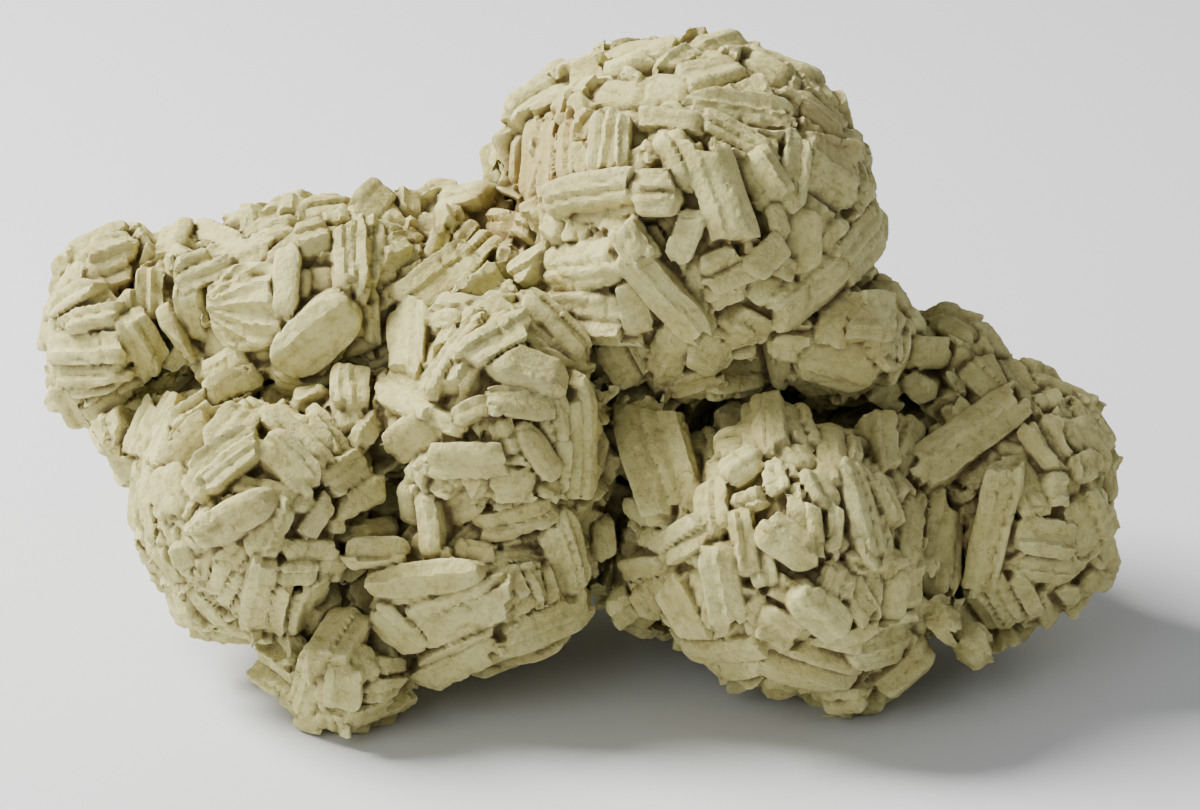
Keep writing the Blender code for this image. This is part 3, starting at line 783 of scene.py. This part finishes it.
def make_mesh(name, vertices, faces, marks, grain):
    """A mesh in the part's frame, with its colour marks and the crystals' own coordinates."""
    mesh = bpy.data.meshes.new(name)
    mesh.vertices.add(len(vertices))
    mesh.vertices.foreach_set("co", to_world(vertices).astype(np.float32).ravel())
    kept = faces != np.roll(faces, 1, axis=1)
    corners = kept.sum(axis=1)
    starts = np.concatenate(((0,), np.cumsum(corners)[:-1]))
    mesh.loops.add(int(corners.sum()))
    mesh.loops.foreach_set("vertex_index", faces[kept].astype(np.int32))
    mesh.polygons.add(len(faces))
    mesh.polygons.foreach_set("loop_start", starts.astype(np.int32))
    mesh.update(calc_edges=True)
    mesh.validate()
    layer = mesh.attributes.new("marks", "FLOAT_COLOR", "POINT")
    layer.data.foreach_set("color", marks.astype(np.float32).ravel())
    layer = mesh.attributes.new("grain", "FLOAT_VECTOR", "POINT")
    layer.data.foreach_set("vector", grain.astype(np.float32).ravel())
    mesh.shade_smooth()
    mesh.set_sharp_from_angle(angle=SHARP_ANGLE)
    return mesh


def make_rosette(name, region, grid, solids, crystals, material):
    """One rosette's closed mesh: the field inside its own region, just overlapping its neighbours."""
    values = np.maximum(grid.values + SEAM_SINK * np.clip(region, 0.0, SEAM), region - SEAM)
    filled = np.argwhere(values < 0.0)
    first = np.maximum(filled.min(axis=0) - 1, 0)
    last = np.minimum(filled.max(axis=0) + 2, values.shape)
    window = tuple(slice(a, b) for a, b in zip(first, last))
    padded = np.pad(values[window], 1, constant_values=1.0)
    vertices, faces = draw_surface(padded, grid.low + grid.step * (first - 1), grid.step)
    buried = grid.sample(grid.values, vertices) < -BURIED_DEPTH
    vertices, faces = thin_out(vertices, faces, buried, BURIED_CELLS * grid.step)
    if name in FRONT:
        faces_away = vertex_normals(vertices, faces)[:, 2] < FACING_AWAY
        vertices, faces = thin_out(vertices, faces, faces_away, REAR_STEP)
    vertices, faces = keep_main_body(vertices, faces)
    normals = vertex_normals(vertices, faces)
    # Painted shade, with some brown dirt, where the space just over the skin is filled: in corners,
    # crevices and hollows
    corner, crevice, hollow = (grid.sample(solid, vertices + normals * reach)
                               for solid, reach in zip(solids, READ_HEIGHTS))
    shade_and_dirt_mask = np.zeros(len(vertices))
    for filling, (begins, span, strength) in ((crevice, CREVICE_MARK), (hollow, HOLLOW_MARK),
                                              (corner, CORNER_MARK)):
        shade_and_dirt_mask += strength * np.clip((filling - begins) / span, 0.0, 1.0)
    # Painted highlight on convex edges, where the space just over the skin is nearly empty
    edge_highlight = np.clip((EDGE_BEGINS - corner) / EDGE_SPAN, 0.0, 1.0)
    owner_cell = np.round((vertices - normals * OWNER_DEPTH - grid.low) / grid.step).astype(int)
    owner_cell = np.clip(owner_cell, 0, np.array(grid.shape) - 1)
    owner = grid.owner[tuple(owner_cell.T)]
    tint = crystals["tint"][owner]
    grain = np.einsum("nij,nj->ni", crystals["axes"][owner], vertices - crystals["middle"][owner])
    grain += TINT_SPREAD * tint[:, None]
    streaks = lumps(grain, STREAK_SIZES, STREAK_SHIFT)
    cracks = np.clip(1.0 - np.abs(lumps(grain, CRACK_SIZES, CRACK_SHIFT)) / CRACK_WIDTH, 0.0, 1.0)
    cracks *= np.clip(lumps(vertices, CRACK_PATCH_SIZE, CRACK_PATCH_SHIFT) + 0.4, 0.0, 1.0)
    sugar = lumps(vertices, SUGAR_SIZE, SUGAR_SHIFT)
    pits = PITS * np.clip(lumps(vertices, PIT_SIZE, PIT_SHIFT) - 0.5, 0.0, 0.4)
    vertices = vertices + normals * (STREAKS * streaks + SUGAR * sugar - CRACKS * cracks - pits)[:, None]
    vertices[:, 1] += np.maximum(-height_of(vertices), 0.0) / UP[2]
    # Painted shade in the cracks as well
    shade_and_dirt_mask = np.clip(shade_and_dirt_mask + CRACK_MARK * cracks, 0.0, 1.0)
    marks = np.stack([shade_and_dirt_mask, stain_at(vertices), tint, edge_highlight], axis=1)
    mesh = make_mesh(name, vertices, faces, marks, grain)
    mesh.materials.append(material)
    piece = bpy.data.objects.new(name, mesh)
    bpy.context.collection.objects.link(piece)
    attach(piece, "root")
    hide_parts("albite_cluster")


def albite_material():
    """Chalky cream crystal, orange brown where it is stained, with painted shade, partly brown dirt, in its
    crevices and a painted highlight on its edges.
    """
    material = bpy.data.materials.new("albite")
    material.use_nodes = True
    nodes, links = material.node_tree.nodes, material.node_tree.links
    shader = nodes["Principled BSDF"]
    marks = nodes.new("ShaderNodeAttribute")
    marks.attribute_name = "marks"
    split = nodes.new("ShaderNodeSeparateColor")
    links.new(marks.outputs["Color"], split.inputs["Color"])
    place = nodes.new("ShaderNodeTexCoord")
    own = nodes.new("ShaderNodeAttribute")
    own.attribute_name = "grain"
    stretched = nodes.new("ShaderNodeVectorMath")
    stretched.operation = "MULTIPLY"
    stretched.inputs[1].default_value = (0.3, 1.0, 0.8)
    links.new(own.outputs["Vector"], stretched.inputs[0])

    def noise(scale, detail, roughness, vector=place.outputs["Object"]):
        node = nodes.new("ShaderNodeTexNoise")
        node.inputs["Scale"].default_value = scale
        node.inputs["Detail"].default_value = detail
        node.inputs["Roughness"].default_value = roughness
        links.new(vector, node.inputs["Vector"])
        return node.outputs["Fac"]

    def ramp(source, stops):
        node = nodes.new("ShaderNodeValToRGB")
        node.color_ramp.elements[0].position, node.color_ramp.elements[0].color = stops[0]
        node.color_ramp.elements[1].position, node.color_ramp.elements[1].color = stops[-1]
        for position, colour in stops[1:-1]:
            node.color_ramp.elements.new(position).color = colour
        links.new(source, node.inputs["Fac"])
        return node.outputs["Color"]

    def mix(factor, first, second, blend_type="MIX"):
        node = nodes.new("ShaderNodeMix")
        node.data_type = "RGBA"
        node.blend_type = blend_type
        for socket, value in ((node.inputs["Factor"], factor), (node.inputs["A"], first),
                              (node.inputs["B"], second)):
            if isinstance(value, (float, tuple)):
                socket.default_value = value
            else:
                links.new(value, socket)
        return node.outputs["Result"]

    def maths(operation, first, second):
        node = nodes.new("ShaderNodeMath")
        node.operation = operation
        node.use_clamp = True
        for socket, value in zip(node.inputs, (first, second)):
            if isinstance(value, float):
                socket.default_value = value
            else:
                links.new(value, socket)
        return node.outputs["Value"]

    pale = (0.665, 0.62, 0.275, 1.0)
    cream = (0.525, 0.475, 0.18, 1.0)
    dull = (0.40, 0.335, 0.12, 1.0)
    # Brown for the painted shade in crevices, partly dirt, and a rustier brown for it where stained; rust
    # for the stain itself
    brown = (0.15, 0.102, 0.042, 1.0)
    rust = (0.35, 0.24, 0.07, 1.0)
    rusty_shade_and_dirt = (0.20, 0.105, 0.03, 1.0)
    # Pale colour of the painted highlight on edges
    edge_highlight_colour = (0.80, 0.765, 0.43, 1.0)
    white = (1.0, 1.0, 1.0, 1.0)
    patches = ramp(noise(160.0, 4.0, 0.6), [(0.32, cream), (0.62, pale)])
    tinted = mix(maths("MULTIPLY", split.outputs["Blue"], 0.35), patches, dull)
    lines = noise(1.6, 4.0, 0.65, stretched.outputs["Vector"])
    lined = mix(0.35, tinted, ramp(lines, [(0.30, (0.72, 0.66, 0.55, 1.0)), (0.52, white)]), "MULTIPLY")
    specks = ramp(noise(900.0, 3.0, 0.7), [(0.30, (0.62, 0.56, 0.45, 1.0)), (0.52, white)])
    speckled = mix(0.75, lined, specks, "MULTIPLY")
    stain = maths("MULTIPLY", split.outputs["Green"], 0.6)
    stained = mix(stain, speckled, rust)
    # Painted highlight on the edges
    highlighted = mix(maths("MULTIPLY", marks.outputs["Alpha"], 0.4), stained, edge_highlight_colour)
    # Painted shade, partly brown dirt, in corners, crevices, hollows and cracks, rustier where stained
    shade_and_dirt_colour = mix(split.outputs["Green"], brown, rusty_shade_and_dirt)
    final = mix(maths("MULTIPLY", split.outputs["Red"], 0.85), highlighted, shade_and_dirt_colour)
    links.new(final, shader.inputs["Base Color"])
    shader.inputs["Roughness"].default_value = 0.75
    shader.inputs["Specular IOR Level"].default_value = 0.35

    streaks = nodes.new("ShaderNodeBump")
    streaks.inputs["Strength"].default_value = 0.6
    streaks.inputs["Distance"].default_value = 0.00025
    links.new(lines, streaks.inputs["Height"])
    sugar = nodes.new("ShaderNodeBump")
    sugar.inputs["Strength"].default_value = 0.9
    sugar.inputs["Distance"].default_value = 0.00035
    links.new(noise(1100.0, 5.0, 0.7), sugar.inputs["Height"])
    links.new(streaks.outputs["Normal"], sugar.inputs["Normal"])
    links.new(sugar.outputs["Normal"], shader.inputs["Normal"])
    return material


def plain_material(name, colour, roughness):
    material = bpy.data.materials.new(name)
    material.use_nodes = True
    shader = material.node_tree.nodes["Principled BSDF"]
    shader.inputs["Base Color"].default_value = (*colour, 1.0)
    shader.inputs["Roughness"].default_value = roughness
    return material


def add_rosettes():
    """All crystals, then a mesh for each rosette."""
    groups = (CROWN, CENTRE, SADDLE, LOWER_LEFT, FOOT, LOWER_RIGHT, RIGHT_SIDE, FAR_LEFT, RIDGE)
    rng = np.random.default_rng(SEED)
    listed = [front_blade(row, rng) for rows in groups for row in rows]
    ruled = [blade for lobe in ALL_LOBES for blade in ruled_blades(lobe, rng)]
    blades = sorted(ruled, key=lambda each: each.lift) + sorted(listed, key=lambda each: each.lift)
    crystals = {
        "tint": np.array([0.5] + [blade.tint for blade in blades], np.float32),
        "middle": np.array([(0.0, 0.0, 0.0)] + [blade.middle for blade in blades]),
        "axes": np.array([np.eye(3)] + [(blade.along, blade.across, blade.face) for blade in blades]),
    }
    material = albite_material()
    for box, step, names in ((FRONT_BOX, FRONT_STEP, FRONT), (REAR_BOX, REAR_STEP, REAR)):
        grid = Grid(box, step)
        grid.add_blades(blades)
        solid = (grid.values < 0.0).astype(np.float32)
        solids = [blurred(solid, max(round(size / step), 1)) for size in CUBE_SIZES]
        for name in names:
            make_rosette(name, grid.region(name), grid, solids, crystals, material)


def add_light(name, place, target, size, power, colour):
    """A large soft light that faces a point."""
    lamp = bpy.data.lights.new(name, "AREA")
    lamp.shape = "DISK"
    lamp.size = size
    lamp.energy = power
    lamp.color = colour
    light = bpy.data.objects.new(name, lamp)
    light.location = place
    light.rotation_euler = (Vector(place) - Vector(target)).to_track_quat("Z", "Y").to_euler()
    bpy.context.collection.objects.link(light)


def add_studio():
    """Pale floor, soft light from the upper left and the camera."""
    mesh = bpy.data.meshes.new("floor")
    half = 3.0
    corners = [(-half, -half, 0.0), (half, -half, 0.0), (half, half, 0.0), (-half, half, 0.0)]
    mesh.from_pydata(corners, [], [(0, 1, 2, 3)])
    mesh.materials.append(plain_material("floor", (0.71, 0.722, 0.735), 0.9))
    floor = bpy.data.objects.new("floor", mesh)
    bpy.context.collection.objects.link(floor)

    world = bpy.data.worlds.new("studio")
    world.use_nodes = True
    background = world.node_tree.nodes["Background"]
    background.inputs["Color"].default_value = (0.93, 0.96, 1.0, 1.0)
    background.inputs["Strength"].default_value = 0.27
    bpy.context.scene.world = world
    middle = tuple(MIDDLE * MM)
    add_light("key", (-0.45, 0.12, 0.52), middle, 0.32, 14.0, (1.0, 0.985, 0.95))
    add_light("fill", (-0.6, -0.8, 0.5), middle, 0.9, 4.0, (0.97, 0.98, 1.0))
    add_light("back_light", (0.8, 0.5, 0.45), middle, 0.7, 1.4, (0.97, 0.98, 1.0))

    camera_data = bpy.data.cameras.new("camera")
    camera_data.sensor_width = 36.0
    camera_data.lens = 36.0 * VIEW_DISTANCE / (PICTURE_SIZE[0] * MM_PER_PIXEL)
    camera = bpy.data.objects.new("camera", camera_data)
    turn = Matrix((RIGHT, UP, TOWARD)).transposed()
    camera.matrix_world = Matrix.Translation((MIDDLE + VIEW_DISTANCE * TOWARD) * MM) @ turn.to_4x4()
    bpy.context.collection.objects.link(camera)
    bpy.context.scene.camera = camera


add_rosettes()
add_studio()
